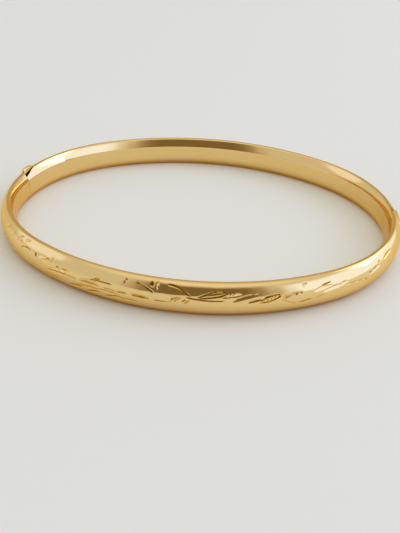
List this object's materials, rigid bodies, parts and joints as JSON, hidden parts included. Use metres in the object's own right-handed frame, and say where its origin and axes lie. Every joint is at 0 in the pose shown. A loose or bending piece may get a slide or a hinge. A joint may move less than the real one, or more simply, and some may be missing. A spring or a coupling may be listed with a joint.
{
  "type": "hinged bangle bracelet",
  "caption": "Slim hinged oval bangle bracelet: a hollow domed band engraved with foliage, with a pin hinge at one end and a sprung tongue clasp with a thumb tab in its upper edge at the other.",
  "frame": {"origin": "centre of the wrist opening, on the plane that the bangle lies on", "axes": "+Z along the axis of the ring, +X from the clasp to the hinge, front half at -Y and back half at +Y"},
  "size_m": [0.0627, 0.0516, 0.0055],
  "materials": {
    "polished_gold": "mirror polished yellow gold",
    "lining_gold": "polished yellow gold with fine wear",
    "pin_gold": "filed and burnished gold wire",
    "tongue_gold": "rolled and planished gold strip"
  },
  "bodies": {
    "front_half": {"front_shell": "polished_gold", "front_lining": "lining_gold", "front_hinge_block": "lining_gold", "front_clasp_block": "lining_gold", "upper_knuckle": "polished_gold", "lower_knuckle": "polished_gold", "hinge_pin": "pin_gold", "tongue_blade": "tongue_gold"},
    "clasp_spring": {"spring_leaf": "tongue_gold", "thumb_tab": "polished_gold"},
    "back_half": {"back_shell": "polished_gold", "back_lining": "lining_gold", "back_hinge_block": "lining_gold", "catch_plate": "lining_gold", "middle_knuckle": "polished_gold"}
  },
  "joints": [
    {"name": "bangle_hinge", "type": "hinge", "parent": "front_half", "child": "back_half", "pos_m": [0.03058, 0.0018, 0.0025], "axis": [0, 0, -1], "range_deg": [0, 80]},
    {"name": "thumb_press", "type": "hinge", "parent": "front_half", "child": "clasp_spring", "pos_m": [-0.02965, 0.0046, 0.0025], "axis": [0, 0, 1], "range_deg": [0, 7.9], "stiffness_Nm_per_rad": 0.05}
  ]
}
